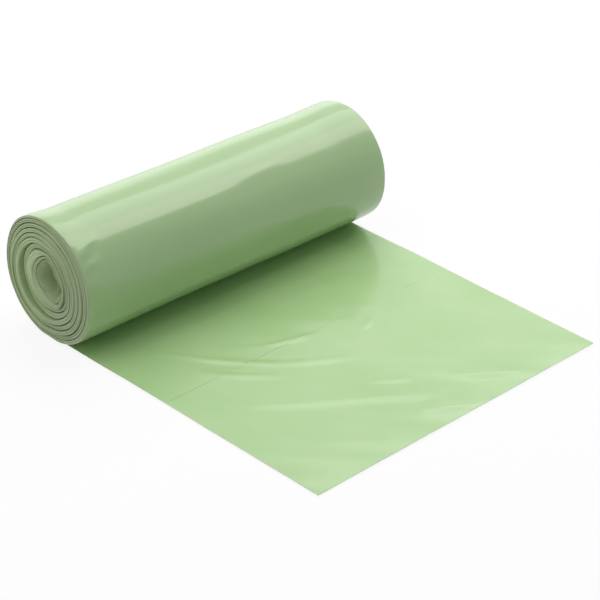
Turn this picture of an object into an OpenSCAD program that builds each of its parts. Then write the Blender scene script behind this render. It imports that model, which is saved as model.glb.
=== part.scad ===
// Roll of bin bags. One web of thin film, folded to the length of the roll, is
// wound on itself without a core tube, and its free end, the lead, is drawn out
// flat in front. The roll lies along X on its flat spot, the lead runs towards
// -Y, and the origin is on the table under the middle of the whole outline.
// Units are millimetres and degrees.

/* [Roll] */
// Length of the roll, which is the width of the folded web
roll_length = 250; // [150:5:400]
// Diameter of the wound roll
roll_diameter = 82; // [70:1:120]
// Turns that the ends of the roll show, each a bundle of thinner ones
turns = 9.75; // [6:0.25:12]
// Gap between one turn and the next
turn_gap = 0.5; // [0.3:0.1:0.6]
// Share by which that gap widens and narrows along the web
gap_change = 0.5; // [0:0.1:0.6]
// Share of a turn by which one winding went slack, at the back of the roll
slack = 0.45; // [0:0.05:0.5]
// How deep that slack winding lies, from 0 outside to 1 at the hollow
slack_depth = 0.4; // [0.2:0.05:0.7]
// Rounding of the edges of each turn, at the ends of the roll
edge_round = 0.7; // [0.2:0.1:1]
// How far in from the roll's left end the most sunken turn lies
web_wander = 2.8; // [0:0.1:4]
// Width of the flat spot that the soft roll lies on
flat_spot = 16; // [8:1:20]

/* [Core] */
// Mean width of the hollow in the middle of the roll
core_width = 24.6; // [16:0.2:26]
// How far the hollow has collapsed, from 0, round, towards 1, a diamond
core_collapse = 0.75; // [0:0.05:0.9]
// Angle by which the diamond leans forwards from standing on its corner
core_lean = 10; // [-45:1:45]
// How far the hollow lies in front of the middle of the roll
core_forward = 3; // [0:0.5:6]
// How far the hollow lies above the middle of the roll
core_raise = 2; // [0:0.5:3]

/* [Lead] */
// Length of the lead's left edge, from under the roll's axis to the cut edge
lead_left = 225; // [140:5:400]
// How much longer the lead's right edge is
lead_skew = 1.5; // [-8:0.5:8]
// Thickness of the lead, with its folded layers together
film = 0.6; // [0.4:0.1:1]
// How far in from the roll's left end the lead starts
left_inset = 2; // [0:0.5:8]
// How far the lead's left edge leans in on its way to the cut edge
left_lean = 8; // [0:0.5:15]
// How far in from the roll's right end the lead starts
right_inset = 4.5; // [0:0.5:8]
// How far the lead's right edge leans out on its way to the cut edge
right_lean = 1.5; // [0:0.5:3]
// Height of the tallest wrinkle in the lead
wrinkle_height = 2; // [0:0.2:3]
// Half the breadth of a wrinkle
wrinkle_breadth = 6.5; // [5:0.5:12]

/* [Perforation] */
// Distance of the tear-off line from under the roll's axis
tear_line = 102; // [40:1:130]
// Length of each slit in the tear-off line
slit_length = 2.6; // [1:0.1:4]
// Width of each slit
slit_width = 0.5; // [0.3:0.1:1]
// Film left between one slit and the next
tie_length = 1.6; // [0.8:0.1:3]

/* [Hidden] */

// Sides of each turn, and divisions along and across the lead
facets = 32;
lead_rows = 28;
lead_columns = 40;

radius = roll_diameter / 2;
core_radius = core_width / 2;
axis_height = sqrt(pow(radius, 2) - pow(flat_spot / 2, 2));
last_angle = 360 * turns;

// The first turn is as thin as the lead that it becomes
first_pitch = film + turn_gap;
pitch = (radius - first_pitch - core_radius) / (turns - 1);

// The wrinkles that the lead was left with: both ends as shares of the roll's
// length and of the lead's, how far the middle bows, and the share of height
WRINKLES = [
    [-0.33, 0.27, 0.01, 0.61, 0.045, 1],
    [-0.20, 0.37, 0.06, 0.45, 0.03, 0.6],
    [-0.34, 0.42, -0.06, 0.67, 0.02, 0.5],
    [-0.10, 0.66, 0.03, 0.93, -0.01, 0.4],
    [0.05, 0.56, 0.19, 0.50, 0.01, 0.35],
    [0.13, 0.84, 0.25, 0.97, 0.01, 0.45]
];

// Where the web wandered inwards as it was wound, and by what share: depths from
// 0 at the outside to 1 at the hollow, with two sunken rings between flush ones
WANDER = [
    [0, 0], [0.05, 0], [0.16, 0.2], [0.27, -0.3], [0.38, 1], [0.5, 0.9],
    [0.61, -0.1], [0.72, 0], [0.84, 0.9], [0.95, -0.2], [1, 0]
];

// Radius of the spiral where the web has wound through angle a from the lead
function spiral(a) = a < 360
    ? radius - first_pitch * a / 360
    : radius - first_pitch - pitch * (a - 360) / 360;

// How deep a turn lies, from 0 at the outside to 1 at the hollow
function depth(a) = (radius - spiral(a)) / (radius - core_radius);

// Radius at angle a of a unit superellipse: a circle where the power is 2, and
// where it's less, its sides fall in towards a diamond
function diamond(a, power) = pow(
    pow(abs(cos(a)), power) + pow(abs(sin(a)), power), -1 / power);

// Point of the section, as y and z, on the web's outer face, moved in by inward.
// The angle runs from under the axis up the back, over the top and down in front.
function web_point(a, inward = 0) = let(
    t = depth(a),
    r = spiral(a) * diamond(a + core_lean, 2 - core_collapse * pow(t, 2)) - inward,
    flattened = max(0, radius * cos(a) - axis_height) * (1 - t))
    [r * sin(a) - core_forward * t,
     axis_height - r * cos(a) + core_raise * t + flattened];

// The gap inside the web at angle a, widest where one winding went slack
function gap(a) = turn_gap * (1 + gap_change * sin(a * 0.43 + 60))
    + slack * pitch * exp(-pow((depth(a) - slack_depth) * turns * 2, 2)) * max(0, sin(a));

// The inner face follows the turn inside it, a gap away. In the last turn it
// closes up to the film's own thickness, which leaves a thin free end.
function inner_point(a) = let(
    last = max(0, a - last_angle + 360) / 360,
    next_turn = web_point(a + 360, -gap(a)),
    own_face = web_point(a, film))
    next_turn * (1 - last) + own_face * last;

// How far the web wanders sideways, mostly at the back of the roll. Its left
// edge wanders the most, because the bags are folded unevenly.
function wander(a) = web_wander * lookup(depth(a), WANDER) * (5 + 3 * sin(a - 15)) / 8;

// The lead's insets reach a quarter turn up the back of the roll
function inset(a) = max(0, 1 - a / 90);
function left_end(a) = -roll_length / 2 + wander(a) + left_inset * inset(a);
function right_end(a) = roll_length / 2 + 0.4 * wander(a) - right_inset * inset(a);

// Eight corners of the web where it has wound through angle a
function turn_ring(a) = let(
    outer = web_point(a),
    inner = inner_point(a),
    thick = norm(outer - inner),
    c = min(edge_round, thick / 3),
    low = outer + (inner - outer) * c / thick,
    high = inner + (outer - inner) * c / thick,
    left = left_end(a),
    right = right_end(a))
    [[left + c, outer[0], outer[1]], [right - c, outer[0], outer[1]],
     [right, low[0], low[1]], [right, high[0], high[1]],
     [right - c, inner[0], inner[1]], [left + c, inner[0], inner[1]],
     [left, high[0], high[1]], [left, low[0], low[1]]];

// Height of one wrinkle at a point of the lead
function one_wrinkle(x, y, w) = let(
    from = [w[0] * roll_length, -w[1] * lead_left],
    way = [w[2] * roll_length, -w[3] * lead_left] - from,
    p = [x, y] - from,
    u = min(1, max(0, p * way / (way * way))),
    off = (way[0] * p[1] - way[1] * p[0]) / norm(way),
    d = off + 4 * w[4] * roll_length * u * (1 - u))
    w[5] * sin(180 * u) * exp(-pow(d / wrinkle_breadth, 2));

function wrinkles(x, y) = wrinkle_height * max([for (w = WRINKLES) one_wrinkle(x, y, w)]);

// One row of points across the lead, at a share of its length and a height
function lead_row(share, height) = let(
    left = left_end(0) + left_lean * share,
    right = right_end(0) + right_lean * share)
    [for (i = [0:lead_columns]) let(
        u = i / lead_columns,
        x = left + (right - left) * u,
        y = -(lead_left + lead_skew * u) * share)
        [x, y, wrinkles(x, y) + height]];

function reversed(list) = [for (i = [len(list) - 1:-1:0]) list[i]];

// The ring of points round the lead: its underside, then its top side back
function lead_ring(share) = concat(lead_row(share, 0), reversed(lead_row(share, film)));

function flat_list(lists) = [for (list = lists) each list];

// Two triangles for each side between two rings of n points
function ring_faces(first, second, n) = [for (i = [0:n - 1]) let(j = (i + 1) % n)
    each [[first + i, second + i, first + j], [first + j, second + i, second + j]]];

// Triangles that open an edge of two points into a row of many
function fan_faces(left, right, row, n) = let(half = floor(n / 2)) concat(
    [for (i = [0:half - 1]) [left, row + i, row + i + 1]],
    [[left, row + half, right]],
    [for (i = [half:n - 1]) [right, row + i, row + i + 1]]);

// The row of slits across the lead at which one bag tears off the next
module slits() {
    share = tear_line / lead_left;
    left = left_end(0) + left_lean * share;
    right = right_end(0) + right_lean * share;
    step = slit_length + tie_length;
    count = floor((right - left - tie_length) / step);
    first = (left + right - (count - 1) * step) / 2;
    through = 2 * (wrinkle_height + film + 1);
    for (i = [0:count - 1])
        translate([first + i * step, -tear_line, 0])
        cube([slit_length, slit_width, through], center = true);
}

module bin_bag_roll() {
    angles = [for (i = [facets * turns:-1:0]) i * 360 / facets];
    shares = [for (i = [1:lead_rows]) i / lead_rows];
    wound = flat_list([for (a = angles) turn_ring(a)]);
    lead = flat_list([for (share = shares) lead_ring(share)]);

    // Middle of the outline: across, and from the roll's back to the lead's edge
    back = max([for (p = wound) p[1]]);
    middle = (back - lead_left - max(0, lead_skew)) / 2;
    across = (min([for (p = wound) p[0]]) + max([for (p = wound) p[0]])) / 2;

    // Where the rings of the wound turns end and those of the lead start
    n = 2 * (lead_columns + 1);
    nip = len(wound) - 8;
    start = len(wound);
    cut = start + n * (lead_rows - 1);

    wound_faces = [for (k = [0:len(angles) - 2]) each ring_faces(8 * k, 8 * k + 8, 8)];
    lead_faces = [for (k = [0:lead_rows - 2]) each ring_faces(start + n * k, start + n * k + n, n)];
    under = fan_faces(nip, nip + 1, start, lead_columns);
    over = fan_faces(nip + 4, nip + 5, start + lead_columns + 1, lead_columns);
    right_side = [
        [nip + 1, start + lead_columns, nip + 2],
        [nip + 2, start + lead_columns, nip + 3],
        [nip + 3, start + lead_columns, start + lead_columns + 1],
        [nip + 3, start + lead_columns + 1, nip + 4]
    ];
    left_side = [
        [nip + 5, start + n - 1, nip + 6],
        [nip + 6, start + n - 1, start],
        [nip + 6, start, nip + 7],
        [nip + 7, start, nip]
    ];
    inner_end = [[for (i = [0:7]) i]];
    cut_edge = [for (i = [0:lead_columns - 1])
        [cut + i, cut + n - 1 - i, cut + n - 2 - i, cut + i + 1]];

    color("#a9cf98")
    translate([-across, -middle, 0])
    difference() {
        polyhedron(
            points = concat(wound, lead),
            faces = concat(inner_end, wound_faces, under, over, right_side, left_side,
                lead_faces, cut_edge),
            convexity = 2 * turns);
        slits();
    }
}

bin_bag_roll();
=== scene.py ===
import math

import bmesh
import bpy
from mathutils import Matrix, Vector, noise


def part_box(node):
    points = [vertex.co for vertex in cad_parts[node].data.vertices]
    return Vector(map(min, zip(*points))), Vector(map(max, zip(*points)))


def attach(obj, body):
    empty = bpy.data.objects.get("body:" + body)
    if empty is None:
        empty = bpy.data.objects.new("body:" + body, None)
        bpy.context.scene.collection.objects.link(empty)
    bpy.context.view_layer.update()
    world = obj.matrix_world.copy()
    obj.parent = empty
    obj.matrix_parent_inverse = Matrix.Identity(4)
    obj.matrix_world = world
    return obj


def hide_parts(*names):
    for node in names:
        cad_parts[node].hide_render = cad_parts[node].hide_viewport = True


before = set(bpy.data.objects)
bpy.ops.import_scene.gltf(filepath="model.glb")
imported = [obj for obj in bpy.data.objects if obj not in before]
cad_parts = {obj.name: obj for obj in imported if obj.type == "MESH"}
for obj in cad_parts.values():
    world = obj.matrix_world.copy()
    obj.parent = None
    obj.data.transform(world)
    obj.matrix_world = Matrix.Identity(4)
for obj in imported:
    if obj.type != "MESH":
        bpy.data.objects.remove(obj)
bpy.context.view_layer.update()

# The web of film. The whole roll is one long folded tube of thin green
# polyethylene, perforated across between one bag and the next, and wound tightly
# on itself with no core tube. Its free end, the lead, lies flat in front.
ROLL_LENGTH = 0.250
RADIUS = 0.041
FLAT_SPOT = 0.016
FILM = 0.0003
AXIS_HEIGHT = math.sqrt(RADIUS**2 - (FLAT_SPOT / 2) ** 2)

# The lead, from under the axis to its cut edge: how far in from the roll's ends
# its sides start, and how far they lean to the right on their way.
LEAD_LEFT = 0.225
LEAD_SKEW = 0.0015
LEFT_INSET = 0.002
LEFT_LEAN = 0.008
RIGHT_INSET = 0.0045
RIGHT_LEAN = 0.0015

lowest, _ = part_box("bin_bag_roll")
axis_y = lowest.y + LEAD_LEFT + LEAD_SKEW

# Angles are counted along the web from under the axis, up the back, over the
# top and down the front. Up to the seam the web is the outermost turn, and it
# ends at the front corner of the hollow.
TURNS = 9
SEAM_ANGLE = 390
LAST_ANGLE = 360 * TURNS + 256


def ease(t):
    t = min(1, max(0, t))
    return t * t * (3 - 2 * t)


def wavering(x, y, seed):
    return noise.noise(Vector((x, y, seed)))


def between(pairs, value):
    """Value at that place in a list of pairs, on straight lines from pair to pair."""
    for (x0, y0), (x1, y1) in zip(pairs, pairs[1:]):
        if value <= x1:
            break
    return y0 + (y1 - y0) * (value - x0) / (x1 - x0)


# Depth runs from 0, the outside, to 1, the end of the web. The first turn is as
# thin as the lead that it becomes.
FIRST_DEPTH = 0.0174


def depth(angle):
    if angle < 360:
        return FIRST_DEPTH * angle / 360
    return FIRST_DEPTH + (1 - FIRST_DEPTH) * (angle - 360) / (LAST_ANGLE - 360)


# The section's rings: a depth, a mean radius as a share of the roll's, and a
# slip. Half way in, the turns slipped down and back, off the tighter pack round
# the hollow.
LOOSE_DEPTH, LOOSE_RADIUS, LOOSE_SLIP = 0.54, 0.634, 0.130
PACK_DEPTH, PACK_RADIUS, PACK_SLIP = 0.72, 0.484, 0.070
SLIP_ANGLE = 60

# Outline of the collapsed hollow: angles, and radii as shares of the roll's. The
# tail's end lies a little inside it.
HOLLOW = [
    (0, 0.27), (30, 0.22), (90, 0.24), (150, 0.29), (188, 0.34), (226, 0.27),
    (263, 0.34), (300, 0.32), (331, 0.36), (360, 0.27),
]
HOLLOW_DEPTH = 0.92
INNER_DEPTH, INNER_STEP_IN = 1.1, 0.05

# The soft roll sags outwards on both sides of its flat spot, and its inner turns
# are a little out of true.
SAG = 0.0015
SAG_REACH = 28
SAG_FROM_TOP = (130, 230)
UNEVEN_TURNS = 0.0016


def section_point(angle):
    """Place, as y and z from under the axis, of the web's outer face at that angle."""
    t = depth(angle)
    a = math.radians(angle)
    slip = math.cos(math.radians(angle - SLIP_ANGLE))
    hollow = between(HOLLOW, angle % 360)
    rings = [
        (0, 1),
        (LOOSE_DEPTH, LOOSE_RADIUS + LOOSE_SLIP * slip),
        (PACK_DEPTH, PACK_RADIUS + PACK_SLIP * slip),
        (HOLLOW_DEPTH, hollow),
        (INNER_DEPTH, hollow - INNER_STEP_IN),
    ]
    uneven = UNEVEN_TURNS * t * wavering(1.7 * math.sin(a), 1.7 * math.cos(a), 6 * t)
    from_top = (angle + 180) % 360
    bells = [math.exp(-(((from_top - side) / SAG_REACH) ** 2)) for side in SAG_FROM_TOP]
    r = RADIUS * between(rings, t) + uneven + SAG * (1 - t) * sum(bells)
    flattened = max(0, RADIUS * math.cos(a) - AXIS_HEIGHT) * (1 - t)
    return Vector((r * math.sin(a), AXIS_HEIGHT - r * math.cos(a) + flattened))


# Gaps between the turns are narrow and uneven, but for a wide one behind the
# innermost turn.
NARROW_GAP = 0.00012
UNEVEN_GAP = 0.0003
WIDE_GAP = 0.0030
WIDE_GAP_ANGLE = 360 * 8 + 75
WIDE_GAP_REACH = 130


def gap(angle):
    uneven = UNEVEN_GAP * max(0, wavering(angle / 200, 0.4, 7.1))
    wide = WIDE_GAP * ease(1 - abs(angle - WIDE_GAP_ANGLE) / WIDE_GAP_REACH)
    return NARROW_GAP + uneven + wide


def turn_faces(angle):
    """Outer and inner face of the web at that angle.

    A turn fills the space to the next, and the last turn thins out to the bare film.
    """
    outer = section_point(angle)
    following = section_point(angle + 360)
    room = (outer - following).length - gap(angle)
    last = ease((angle - LAST_ANGLE + 360) / 360)
    thickness = max(FILM, room) * (1 - last) + FILM * last
    inner = outer + (following - outer).normalized() * thickness
    return outer, inner


# How far the turns' edges lie in from the roll's left end, by their depth:
# flush rings, one that slipped in behind the loose ring, and one at the hollow.
# The right end wanders less.
END_PROFILE = [
    (0.00, 0.0000), (0.05, 0.0002), (0.14, 0.0005), (0.25, -0.0006), (0.38, 0.0002),
    (0.50, -0.0009), (0.56, 0.0002), (0.60, 0.0028), (0.68, 0.0025), (0.72, 0.0002),
    (0.82, 0.0005), (0.90, 0.0014), (0.94, 0.0000), (1.00, -0.0004),
]
END_WANDER = 0.0008
END_RIPPLE = 0.0004
RIGHT_WANDER_SHARE = 0.4


def end_inset(angle):
    """How far the web's left edge lies in, most of all at the back of the roll."""
    back = 0.5 + 0.5 * math.sin(math.radians(angle + 30))
    inset = between(END_PROFILE, depth(angle)) * (0.2 + 0.8 * back)
    inset += END_WANDER * wavering(angle / 210, 0.2, 3.7)
    return inset + END_RIPPLE * wavering(angle / 60, 0.8, 3.7)


# A turn's edge is a bundle of folded layers, rounded over as a whole. Turns of
# full thickness are rounded most, and the outermost turn is rounded less.
LAYERS = 2
EDGE_ROUND = 0.0009
LAYER_ROUND = 0.00045
UNEVEN_LAYER = 0.0004
ROUNDED_TURN = 0.0030
OUTERMOST_SHARE = 0.35


def edge_inset(angle, level, thickness):
    """How far the edge lies in at that level, from the turn's outer face to its inner face."""
    whole = abs(2 * level - 1) ** 3
    layer = min(LAYERS - 1, int(level * LAYERS))
    crease = 1 - abs(math.sin(math.pi * level * LAYERS)) ** 0.6
    uneven = UNEVEN_LAYER * wavering(angle / 90, layer * 3.1, 5.5)
    covered = ease((angle - 300) / 180)
    share = min(1, thickness / ROUNDED_TURN) * (OUTERMOST_SHARE + (1 - OUTERMOST_SHARE) * covered)
    return share * (EDGE_ROUND * whole + LAYER_ROUND * crease + uneven)


# Turns whose edges are paler or duller than the rest, by their depth: mostly painted shade on
# turns that lie sunk in from the roll's end, and painted light on turns that stand out.
EDGE_TONES_AND_PAINTED_LIGHT = [
    (0.00, 0.00), (0.03, -0.40), (0.11, -0.30), (0.13, 0.20), (0.20, 0.15), (0.24, 0.00),
    (0.44, 0.00), (0.48, 0.35), (0.56, 0.15), (0.60, -0.30), (0.70, -0.25), (0.72, 0.20),
    (0.80, 0.00), (0.88, -0.20), (0.92, 0.10), (1.00, 0.20),
]
MIDDLE_TONE = 0.45
# Painted light on the edges at the back of the roll's end, and painted shade at its front.
BACK_PAINTED_LIGHT = 0.3

# Painted lines on a turn's edge, by their level between its outer and inner face: painted light
# along a fold, and painted shade in a line between two layers. Painted shade darkens it too where
# turns touch.
FOLD_LIGHT_LEVEL, FOLD_LIGHT_REACH = 0.24, 0.1
LAYER_SHADE_LEVEL, LAYER_SHADE_REACH = 0.56, 0.12
CONTACT_SHADE_REACH = 0.15


def edge_tone_and_painted_light(angle, level):
    """Tone of the edge with its painted light and shade, from 0 in the painted shade between
    layers to 1 on the painted light of a fold.
    """
    turn = int(angle / 360) + level
    painted_fold_light = math.exp(-(((level - FOLD_LIGHT_LEVEL) / FOLD_LIGHT_REACH) ** 2))
    painted_fold_light *= 0.7 + 0.9 * wavering(angle / 150, turn, 4.4)
    # Painted shade in the line between two layers.
    layer = max(0, 1 - abs(level - LAYER_SHADE_LEVEL) / LAYER_SHADE_REACH)
    layer *= 0.8 + wavering(angle / 170, turn, 2.7)
    painted_contact_shade = max(0, 1 - min(level, 1 - level) / CONTACT_SHADE_REACH)
    fine = wavering(angle / 240, turn * 11, 9.1)
    # Painted light and shade of the folds, layers and contacts, with tone that differs at random.
    lines = 0.4 * painted_fold_light - 0.3 * painted_contact_shade - 0.3 * layer + 0.35 * fine
    # Painted light at the back of the roll's end and painted shade at its front.
    back = BACK_PAINTED_LIGHT * math.sin(math.radians(angle))
    return min(1, max(0, MIDDLE_TONE + between(EDGE_TONES_AND_PAINTED_LIGHT, depth(angle)) + back + lines))


# Creases in the lead, in metres from under the roll's axis: both ends, the bow
# of the middle, height, and half breadth towards the roll and away from it.
LEAD_CREASES = [
    (-0.0940, -0.0480, -0.0410, -0.1160, 0.0030, 0.00060, 0.0026, 0.0030),
    (-0.0540, -0.1030, 0.0010, -0.1390, 0.0030, 0.00042, 0.0022, 0.0042),
    (-0.0500, -0.0850, 0.0070, -0.1080, 0.0030, 0.00024, 0.0024, 0.0036),
    (-0.0320, -0.0960, 0.0010, -0.1045, 0.0006, 0.00024, 0.0016, 0.0020),
    (-0.0860, -0.0880, -0.0420, -0.1310, 0.0020, 0.00044, 0.0024, 0.0040),
    (-0.0740, -0.0950, -0.0560, -0.1120, 0.0000, 0.00020, 0.0018, 0.0018),
    (-0.0020, -0.1400, 0.0640, -0.0800, -0.0010, 0.00040, 0.0040, 0.0110),
    (-0.1020, -0.1230, 0.0160, -0.2030, 0.0020, 0.00036, 0.0060, 0.0050),
    (-0.0180, -0.1600, 0.0100, -0.1800, 0.0010, 0.00036, 0.0036, 0.0030),
    (0.0240, -0.1210, 0.0430, -0.1130, 0.0010, 0.00036, 0.0018, 0.0026),
    (-0.0130, -0.2080, 0.0170, -0.2245, 0.0000, 0.00100, 0.0060, 0.0026),
    (0.0290, -0.1930, 0.0620, -0.2170, 0.0010, 0.00090, 0.0060, 0.0028),
    (0.0000, -0.0640, 0.0560, -0.0640, 0.0010, 0.00030, 0.0030, 0.0050),
]

# Creases in the outermost turn, with the same measures, but for degrees round
# the roll in place of metres from the axis.
BARREL_CREASES = [
    (-0.1255, 229, -0.1060, 213, 0.0000, 0.0009, 0.0020, 0.0024),
    (-0.1255, 243, -0.1090, 230, 0.0004, 0.0007, 0.0020, 0.0024),
    (-0.1255, 257, -0.1120, 241, 0.0000, 0.0005, 0.0020, 0.0020),
    (0.0060, 215, 0.0480, 213, 0.0004, 0.0004, 0.0024, 0.0032),
    (-0.0100, 204, 0.0900, 204, 0.0000, 0.0004, 0.0100, 0.0100),
    (-0.0900, 232, 0.0100, 232, 0.0000, 0.0004, 0.0100, 0.0100),
    (-0.1250, 272, 0.1250, 272, 0.0000, 0.0008, 0.0080, 0.0080),
]


def round_roll(angle):
    """Distance round the outermost turn, growing from the front up to the top."""
    return -RADIUS * math.radians(angle)


round_creases = [
    (x0, round_roll(a0), x1, round_roll(a1), *rest)
    for x0, a0, x1, a1, *rest in BARREL_CREASES
]


def crease_height(x, y, creases):
    height = 0.0
    for x0, y0, x1, y1, bow, tall, upper, lower in creases:
        way = Vector((x1 - x0, y1 - y0))
        here = Vector((x - x0, y - y0))
        along = min(1, max(0, here.dot(way) / way.length_squared))
        off = (way.x * here.y - way.y * here.x) / way.length
        off += 4 * bow * along * (1 - along)
        side = upper if off > 0 else lower
        height += tall * math.sin(math.pi * along) ** 0.7 * math.exp(-((off / side) ** 2))
    return height


# The outermost turn is uneven: low ridges run along it, broad swells cross it,
# its left end is crumpled high on the front, and both its ends curl in a little.
RIDGES = 0.00018
SWELLS = 0.0009
CRUMPLE = 0.0007
CRUMPLE_REACH = 0.025
CRUMPLE_ANGLE = 235
CURL = 0.0002
CURL_REACH = 0.004


def barrel_bulge(x, angle):
    """Unevenness of the outermost turn, fading where other turns cover it."""
    shown = ease(angle / 40) * ease((SEAM_ANGLE - 20 - angle) / 40)
    ridges = RIDGES * wavering(x * 5, angle / 7, 1.3)
    swells = SWELLS * wavering(x * 9, angle / 40, 5.2)
    near_left_end = ease((CRUMPLE_REACH - ROLL_LENGTH / 2 - x) / 0.02)
    near_left_end *= ease(1 - abs(angle - CRUMPLE_ANGLE) / 40)
    crumpled = CRUMPLE * near_left_end * wavering(x * 160, angle / 6, 8.8)
    from_end = ROLL_LENGTH / 2 - abs(x)
    curled = -CURL * max(0, 1 - from_end / CURL_REACH) ** 2
    creased = crease_height(x, round_roll(angle), round_creases)
    return shown * (ridges + swells + crumpled + curled + creased)


# The lead is flat as far as it's held down beside the roll. From there on it
# lies in slanting ripples and broad swells.
HELD_DOWN = 0.035
RIPPLES = 0.00018
LEAD_SWELLS = 0.00042


def lead_height(x, y):
    """Height of the lead's underside over the table."""
    diagonal = (x + y) * 0.7071
    ripples = RIPPLES * (1 + wavering(diagonal * 75, (x - y) * 9, 2.2))
    swells = LEAD_SWELLS * (1 + wavering(x * 14, y * 14, 6.6))
    return ease((-y - HELD_DOWN) / 0.04) * (crease_height(x, y, LEAD_CREASES) + ripples + swells)


# The tear-off line: slits and the ties between them, by turns. The slits stand
# open a little on the left, where the lead is wrinkled, and less and less past
# its middle.
TEAR_LINE = 0.102
SLIT_LENGTH = 0.0026
SLIT_WIDTH = 0.0001
SLIT_OPENING = 1.5
OPENING_FADE = 0.06
TIE_LENGTH = 0.0016
SLITS = 56

# Columns of faces across the web: a narrow border at each side, then a column
# for each slit and tie.
BORDER = 0.0008
WIDER_BORDER = 2.2 * BORDER
tear_share = TEAR_LINE / LEAD_LEFT
tear_width = ROLL_LENGTH - LEFT_INSET - RIGHT_INSET + (RIGHT_LEAN - LEFT_LEAN) * tear_share
slit_step = SLIT_LENGTH + TIE_LENGTH
margin = (tear_width - SLITS * slit_step + TIE_LENGTH) / 2
columns = [0, BORDER, WIDER_BORDER]
for i in range(SLITS):
    columns += [margin + i * slit_step, margin + i * slit_step + SLIT_LENGTH]
columns += [tear_width - WIDER_BORDER, tear_width - BORDER, tear_width]
columns = [c / tear_width for c in columns]

# Rows of faces along the web, from its inner end to the cut edge: fine ones over
# the turn that shows and over the lead's wrinkles, and coarser ones elsewhere.
TAIL_ROWS = 14
INNER_STEP = 5.5
OUTER_STEP = 3
COARSE_STEP = 0.0025
FINE_STEP = 0.0015
FINE_START, FINE_END = 0.051, 0.147
CLEAR_OF_TEAR = 0.001
seam = SEAM_ANGLE - SEAM_ANGLE % OUTER_STEP
inner_rows = round((LAST_ANGLE - seam) / INNER_STEP)
inner_angles = [LAST_ANGLE - i * (LAST_ANGLE - seam) / inner_rows for i in range(inner_rows)]
outer_angles = list(range(seam, -1, -OUTER_STEP))
lead_rows = [COARSE_STEP * i for i in range(1, 21)]
lead_rows += [FINE_START + FINE_STEP * i for i in range(64)]
lead_rows += [FINE_END + COARSE_STEP * i for i in range(31)]
lead_rows = [d for d in lead_rows if abs(d - TEAR_LINE) > CLEAR_OF_TEAR]
lead_rows += [TEAR_LINE - SLIT_WIDTH / 2, TEAR_LINE + SLIT_WIDTH / 2]
lead_rows += [LEAD_LEFT - BORDER, LEAD_LEFT]
lead_rows.sort()

rows = [("tail", i / TAIL_ROWS) for i in range(TAIL_ROWS, 0, -1)]
rows += [("turn", a) for a in inner_angles + outer_angles]
rows += [("lead", d / LEAD_LEFT) for d in lead_rows]
seam_row = TAIL_ROWS + len(inner_angles)
tear_row = rows.index(("lead", (TEAR_LINE - SLIT_WIDTH / 2) / LEAD_LEFT))

# The tail is the web's inner end, a flap that has sprung across the hollow. It
# bends there, and its sides draw in.
TAIL_BEND = Vector((0.0020, -0.0030))
TAIL_REACH = Vector((0.0035, -0.0115))
TAIL_LEFT_INSET = 0.0015
TAIL_RIGHT_INSET = 0.006
tail_start, tail_inner = turn_faces(LAST_ANGLE)
tail_middle = (tail_start + tail_inner) / 2
tail_bend = tail_middle + TAIL_BEND
tail_end = tail_middle + TAIL_REACH


def tail_faces(share):
    """Both faces of the tail, share of the way to its end."""
    place = (1 - share) ** 2 * tail_middle + 2 * share * (1 - share) * tail_bend
    place += share**2 * tail_end
    way = (1 - share) * (tail_bend - tail_middle) + share * (tail_end - tail_bend)
    side = Vector((way.y, -way.x)).normalized() * FILM / 2
    return place + side, place - side


def rounded(x, across, angle, level, thickness):
    """A place across the web, drawn in by the rounding if it's on one of its edges."""
    if across not in (0, 1):
        return x
    rounding = edge_inset(angle, level, thickness)
    return x + rounding if across == 0 else x - rounding


def lead_point(share, across, level):
    """Place in the frame of a point of the lead, at that share of its length."""
    left = -ROLL_LENGTH / 2 + LEFT_INSET + LEFT_LEAN * share
    right = ROLL_LENGTH / 2 - RIGHT_INSET + RIGHT_LEAN * share
    x = rounded(left + (right - left) * across, across, 0, level, FILM)
    if abs(share * LEAD_LEFT - TEAR_LINE) < SLIT_WIDTH:
        share += (share - tear_share) * SLIT_OPENING * ease(0.5 - x / OPENING_FADE)
    y = -(LEAD_LEFT + LEAD_SKEW * across) * share
    return Vector((x, axis_y + y, lead_height(x, y) + FILM * level))


# The wound web stands a little over the roll's nominal length. The soft roll has
# spread near its ends, the left one in height and the right one all round: by
# what share, and over how much of its length.
OVERHANG = 0.0006
LEFT_SPREAD, LEFT_SPREAD_REACH = 0.016, 0.020
RIGHT_SPREAD, RIGHT_SPREAD_REACH = 0.018, 0.040


def wound_point(kind, value, across, level):
    """Place in the frame of a point of a turn, by its angle, or of the tail, by its share."""
    angle = value if kind == "turn" else LAST_ANGLE
    start = ease(1 - angle / 90)
    inset = end_inset(angle)
    left = -ROLL_LENGTH / 2 - OVERHANG + inset + LEFT_INSET * start
    right = ROLL_LENGTH / 2 + OVERHANG + RIGHT_WANDER_SHARE * inset - RIGHT_INSET * start
    outer, inner = turn_faces(angle) if kind == "turn" else tail_faces(value)
    if kind == "tail":
        left += TAIL_LEFT_INSET * value
        right -= TAIL_RIGHT_INSET * value
    x = rounded(left + (right - left) * across, across, angle, level, (outer - inner).length)
    place = outer.lerp(inner, level)
    if kind == "turn" and angle < SEAM_ANGLE:
        out = Vector((math.sin(math.radians(angle)), -math.cos(math.radians(angle))))
        place += out * barrel_bulge(x, angle) * (1 - level)
    left_spread = LEFT_SPREAD * ease(1 - (ROLL_LENGTH / 2 + x) / LEFT_SPREAD_REACH)
    right_spread = RIGHT_SPREAD * ease(1 - (ROLL_LENGTH / 2 - x) / RIGHT_SPREAD_REACH)
    place.x *= 1 + right_spread
    place.y *= 1 + left_spread + right_spread
    return Vector((x, axis_y + place.x, place.y))


def web_point(row, across, level):
    """Place in the frame of a point of the web.

    It has a row, a share across, and a level from the outer face, 0, to the inner, 1.
    """
    kind, value = row
    if kind == "lead":
        return lead_point(value, across, level)
    return wound_point(kind, value, across, level)


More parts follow.
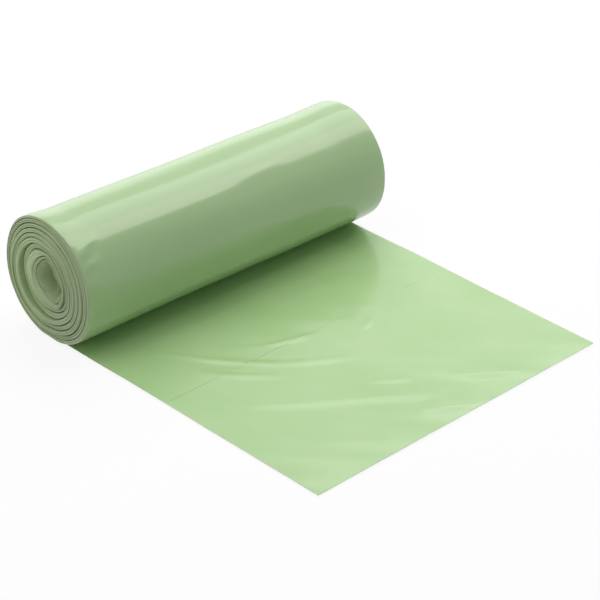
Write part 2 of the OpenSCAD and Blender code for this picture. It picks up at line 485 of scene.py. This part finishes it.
# The blank is a flat strip of unit size that is cut into rows and columns,
# perforated, given two faces and rounded edges, and then wound.
BLANK_THICKNESS = 0.1
EDGE_CUTS = 7 * LAYERS - 1
web_mesh = bmesh.new()
bmesh.ops.create_grid(web_mesh, x_segments=1, y_segments=len(rows) - 1, size=0.5)


def blank_row(vert):
    return round((vert.co.y + 0.5) * (len(rows) - 1))


def crossing(edge):
    a, b = (blank_row(v) for v in edge.verts)
    return a == b and a >= seam_row


bmesh.ops.subdivide_edges(
    web_mesh,
    edges=[e for e in web_mesh.edges if crossing(e)],
    cuts=len(columns) - 2,
    use_grid_fill=True,
)


def is_slit(face):
    """Whether the face is in the tear-off line's row and in one of the slits' columns."""
    if {blank_row(v) for v in face.verts} != {tear_row, tear_row + 1}:
        return False
    column = int((face.calc_center_median().x + 0.5) * (len(columns) - 1))
    return 3 <= column < len(columns) - 4 and column % 2 == 1


bmesh.ops.delete(web_mesh, geom=[f for f in web_mesh.faces if is_slit(f)], context="FACES")
bmesh.ops.solidify(web_mesh, geom=web_mesh.faces[:], thickness=BLANK_THICKNESS)


def on_rim(edge):
    a, b = (v.co for v in edge.verts)
    return abs(a.z - b.z) > BLANK_THICKNESS / 2 and abs(a.x) > 0.4999


bmesh.ops.subdivide_edges(
    web_mesh,
    edges=[e for e in web_mesh.edges if on_rim(e)],
    cuts=EDGE_CUTS,
    use_grid_fill=True,
)

# The web's own map: metres across it and along it, how near a point is to an edge, and the tone
# of that edge with its painted light and shade.
INNER_RIM, OUTER_RIM = 0.6, 0.3
PLAIN_TONE = 0.5
web_map = web_mesh.loops.layers.uv.new("web")
rim_layer = web_mesh.verts.layers.float.new("rim")
tone_and_painted_light_layer = web_mesh.verts.layers.float.new("tone")
along = [0.0]
for before, after in zip(rows, rows[1:]):
    step = web_point(after, 0.5, 0) - web_point(before, 0.5, 0)
    along.append(along[-1] + step.length)
web_length = along[-1]

places = {}
for vert in web_mesh.verts:
    row = blank_row(vert)
    across = columns[round((vert.co.x + 0.5) * (len(columns) - 1))]
    level = min(1, max(0, -vert.co.z / BLANK_THICKNESS))
    places[vert] = (row, across, level)
    at_end = INNER_RIM if row < seam_row else OUTER_RIM
    vert[rim_layer] = 1.0 if 0 < level < 1 else at_end if across in (0, 1) else 0.0
    kind, value = rows[row]
    # Edge tones carry painted light and shade.
    vert[tone_and_painted_light_layer] = edge_tone_and_painted_light(value, level) if kind == "turn" else PLAIN_TONE
for face in web_mesh.faces:
    for loop in face.loops:
        row, across, level = places[loop.vert]
        loop[web_map].uv = (across * ROLL_LENGTH, along[row])
for vert, (row, across, level) in places.items():
    vert.co = web_point(rows[row], across, level)

SHARP = math.radians(62)
bmesh.ops.recalc_face_normals(web_mesh, faces=web_mesh.faces[:])
for face in web_mesh.faces:
    face.smooth = True
for edge in web_mesh.edges:
    edge.smooth = edge.calc_face_angle(0) < SHARP

web = bpy.data.objects.new("film_web", bpy.data.meshes.new("film_web"))
web_mesh.to_mesh(web.data)
web_mesh.free()
bpy.context.scene.collection.objects.link(web)
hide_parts("bin_bag_roll")
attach(web, "root")

# Pale green film: glossy, a little milky, with faint lines along the way that it was drawn, and
# duller and greyer where its folded edges show, with painted light and shade on those edges. The
# last turns round the hollow are few and let light through, and they are painted much lighter, as
# painted light for that light and for the light in the hollow. The lead is a single thickness of
# film over a pale table, so it looks lighter. They fade into the rest over metres along the web,
# from its inner end or from the lead's start.
FILM_GREENS = (0.298, 0.464, 0.202), (0.346, 0.516, 0.248)
LEAD_GREENS = (0.308, 0.532, 0.192), (0.462, 0.660, 0.340)
EDGE_GREENS = (0.225, 0.290, 0.135), (0.315, 0.425, 0.190)
# Painted light for the turns round the hollow, and the length along the web over which it fades
# in.
HOLLOW_PAINTED_LIGHT_GREEN = (0.760, 0.860, 0.600)
HOLLOW_LIGHT_FADE = 0.15, 0.09
LEAD_FADE = -0.03, 0.01
CLOUD_SCALE = 14
LINE_SCALE = (420, 6, 1)
ROUGHNESS = 0.5, 0.6

film = bpy.data.materials.new("film")
film.use_nodes = True
nodes, links = film.node_tree.nodes, film.node_tree.links
shader = nodes["Principled BSDF"]
shader.inputs["IOR"].default_value = 1.52
shader.inputs["Specular IOR Level"].default_value = 0.2
shader.inputs["Coat Weight"].default_value = 1.0
shader.inputs["Coat IOR"].default_value = 1.55
shader.inputs["Coat Roughness"].default_value = 0.16
web.data.materials.append(film)


def mixed(factor, a, b):
    """Colour that runs from a to b with the factor. Both are colours or outputs of nodes."""
    mix = nodes.new("ShaderNodeMix")
    mix.data_type = "RGBA"
    links.new(factor, mix.inputs["Factor"])
    for name, colour in (("A", a), ("B", b)):
        if isinstance(colour, tuple):
            mix.inputs[name].default_value = (*colour, 1)
        else:
            links.new(colour, mix.inputs[name])
    return mix.outputs["Result"]


def mapped(value, start, end, at_start=0, at_end=1):
    """A value that runs from at_start to at_end while the first one runs from start to end."""
    range_map = nodes.new("ShaderNodeMapRange")
    range_map.inputs["From Min"].default_value = start
    range_map.inputs["From Max"].default_value = end
    range_map.inputs["To Min"].default_value = at_start
    range_map.inputs["To Max"].default_value = at_end
    links.new(value, range_map.inputs["Value"])
    return range_map.outputs["Result"]


def clouds(vector, scale, detail):
    texture = nodes.new("ShaderNodeTexNoise")
    texture.inputs["Scale"].default_value = scale
    texture.inputs["Detail"].default_value = detail
    links.new(vector, texture.inputs["Vector"])
    return texture.outputs["Fac"]


def painted(name):
    """A value that the mesh holds for each of its points."""
    attribute = nodes.new("ShaderNodeAttribute")
    attribute.attribute_name = name
    return attribute.outputs["Fac"]


coordinates = nodes.new("ShaderNodeTexCoord")
web_uv = nodes.new("ShaderNodeUVMap")
web_uv.uv_map = "web"
drawn = nodes.new("ShaderNodeMapping")
drawn.inputs["Scale"].default_value = LINE_SCALE
links.new(web_uv.outputs["UV"], drawn.inputs["Vector"])
along_web = nodes.new("ShaderNodeSeparateXYZ")
links.new(web_uv.outputs["UV"], along_web.inputs["Vector"])

cloud = clouds(coordinates.outputs["Object"], CLOUD_SCALE, 3)
lines = clouds(drawn.outputs["Vector"], 1, 2)
# Painted light on the last turns round the hollow.
painted_hollow_light = mapped(along_web.outputs["Y"], *HOLLOW_LIGHT_FADE)
lead_start = web_length - LEAD_LEFT
unrolled = mapped(along_web.outputs["Y"], *(lead_start + fade for fade in LEAD_FADE))
wound_colour = mixed(painted_hollow_light, mixed(cloud, *FILM_GREENS), HOLLOW_PAINTED_LIGHT_GREEN)
face_colour = mixed(unrolled, wound_colour, mixed(cloud, *LEAD_GREENS))
# The edges' colour runs with their tone, painted light and shade included.
edge_colour = mixed(painted("tone"), *EDGE_GREENS)
links.new(mixed(painted("rim"), face_colour, edge_colour), shader.inputs["Base Color"])
links.new(mapped(cloud, 0, 1, *ROUGHNESS), shader.inputs["Roughness"])

relief = nodes.new("ShaderNodeBump")
relief.inputs["Strength"].default_value = 0.25
relief.inputs["Distance"].default_value = 0.00008
links.new(lines, relief.inputs["Height"])
links.new(relief.outputs["Normal"], shader.inputs["Normal"])

# The floor is a plain pale sheet that runs on past every view. The camera and
# mirrored rays see it almost white, with the roll's shadow on it.
FLOOR_SIZE = 60
FLOOR_DROP = 0.0003
FLOOR_GREY = (0.9, 0.9, 0.9, 1)
FLOOR_WHITE = 0.88
floor_mesh = bmesh.new()
bmesh.ops.create_grid(floor_mesh, x_segments=1, y_segments=1, size=FLOOR_SIZE / 2)
bmesh.ops.translate(floor_mesh, verts=floor_mesh.verts, vec=(0, 0, -FLOOR_DROP))
floor = bpy.data.objects.new("floor", bpy.data.meshes.new("floor"))
floor_mesh.to_mesh(floor.data)
floor_mesh.free()
bpy.context.scene.collection.objects.link(floor)

pale = bpy.data.materials.new("pale_floor")
pale.use_nodes = True
nodes, links = pale.node_tree.nodes, pale.node_tree.links
matte = nodes["Principled BSDF"]
matte.inputs["Base Color"].default_value = FLOOR_GREY
matte.inputs["Roughness"].default_value = 0.9
matte.inputs["Specular IOR Level"].default_value = 0.0
white = nodes.new("ShaderNodeEmission")
white.inputs["Strength"].default_value = 1


def seen_rays():
    """1 for rays from the camera and for mirrored ones, and 0 for those that bring light."""
    rays = nodes.new("ShaderNodeLightPath")
    either = nodes.new("ShaderNodeMath")
    either.operation = "MAXIMUM"
    links.new(rays.outputs["Is Camera Ray"], either.inputs[0])
    links.new(rays.outputs["Is Glossy Ray"], either.inputs[1])
    return either.outputs["Value"]


def blended(factor, first, second, output):
    """Leads two shaders, mixed by the factor, to the output."""
    blend = nodes.new("ShaderNodeMixShader")
    links.new(factor, blend.inputs["Fac"])
    links.new(first, blend.inputs[1])
    links.new(second, blend.inputs[2])
    links.new(blend.outputs["Shader"], output)


whitened = nodes.new("ShaderNodeMath")
whitened.operation = "MULTIPLY"
whitened.inputs[1].default_value = FLOOR_WHITE
links.new(seen_rays(), whitened.inputs[0])
blended(
    whitened.outputs["Value"],
    matte.outputs["BSDF"],
    white.outputs["Emission"],
    nodes["Material Output"].inputs["Surface"],
)
floor.data.materials.append(pale)

# The air gives a little light all round, and the camera and mirrored rays see it
# as a white backdrop.
AIR_LIGHT = 0.32
world = bpy.data.worlds.new("studio")
bpy.context.scene.world = world
world.use_nodes = True
nodes, links = world.node_tree.nodes, world.node_tree.links
air = nodes["Background"]
air.inputs["Color"].default_value = (1, 1, 1, 1)
air.inputs["Strength"].default_value = AIR_LIGHT
backdrop = nodes.new("ShaderNodeBackground")
backdrop.inputs["Color"].default_value = (1, 1, 1, 1)
blended(
    seen_rays(),
    air.outputs["Background"],
    backdrop.outputs["Background"],
    nodes["World Output"].inputs["Surface"],
)


def soft_box(name, place, aim, size, brightness, tint=(1, 1, 1), mirrored=False):
    """A flat lamp of that width and depth, at a place beside the roll and turned to face aim."""
    lamp = bpy.data.lights.new(name, "AREA")
    lamp.shape = "RECTANGLE"
    lamp.size, lamp.size_y = size
    lamp.energy = brightness * math.pi * size[0] * size[1]
    lamp.color = tint
    holder = bpy.data.objects.new(name, lamp)
    holder.visible_glossy = mirrored
    bpy.context.scene.collection.objects.link(holder)
    holder.location = Vector(place) + Vector((0, axis_y, 0))
    way = Vector(aim) - Vector(place)
    holder.rotation_euler = way.to_track_quat("-Z", "Y").to_euler()


# Broad soft boxes hang over the roll and stand behind it, and the film mirrors
# them. The front edge of the key, half a metre in front of the roll and to its
# right, shows as the step from light to dark along the barrel. The rear one and
# the side one light the top and the left end, and aren't mirrored.
KEY_TINT = (1.0, 0.95, 0.95)
soft_box("overhead", (0.5, 0.45, 1.2), (0.5, 0.45, 0), (3.0, 0.9), 1.75, mirrored=True)
soft_box("key", (1.0, -0.25, 1.2), (1.0, -0.25, 0), (1.5, 0.5), 2.7, KEY_TINT, mirrored=True)
soft_box("rear", (1.3, 1.35, 1.2), (1.3, 1.35, 0), (1.8, 0.9), 4.0)
soft_box("side", (-1.7, 0.3, 0.7), (-0.1, 0.0, 0.05), (1.2, 1.0), 1.2)
soft_box("behind", (1.4, 2.0, 0.6), (1.4, 0, 0.6), (3.6, 1.1), 0.6, mirrored=True)

# The camera looks from the front left, from above.
CAMERA_AZIMUTH = math.radians(-44.872)
CAMERA_ELEVATION = math.radians(30.849)
CAMERA_TILT = math.radians(1.96)
CAMERA_DISTANCE = 4.7918 * ROLL_LENGTH
AIM_X = 0.087 * ROLL_LENGTH
AIM_Y = -0.2738 * ROLL_LENGTH
PICTURE_SIZE = 600
FOCAL_PIXELS = 1876.1

aim = Vector((AIM_X, axis_y + AIM_Y, 0))
back = Vector((
    math.sin(CAMERA_AZIMUTH) * math.cos(CAMERA_ELEVATION),
    -math.cos(CAMERA_AZIMUTH) * math.cos(CAMERA_ELEVATION),
    math.sin(CAMERA_ELEVATION),
))
camera = bpy.data.objects.new("camera", bpy.data.cameras.new("camera"))
bpy.context.scene.collection.objects.link(camera)
camera.data.lens = camera.data.sensor_width * FOCAL_PIXELS / PICTURE_SIZE
camera.location = aim + back * CAMERA_DISTANCE
turn = (-back).to_track_quat("-Z", "Y").to_matrix().to_4x4()
camera.rotation_euler = (turn @ Matrix.Rotation(CAMERA_TILT, 4, "Z")).to_euler()
bpy.context.scene.camera = camera
bpy.context.scene.view_settings.view_transform = "Standard"
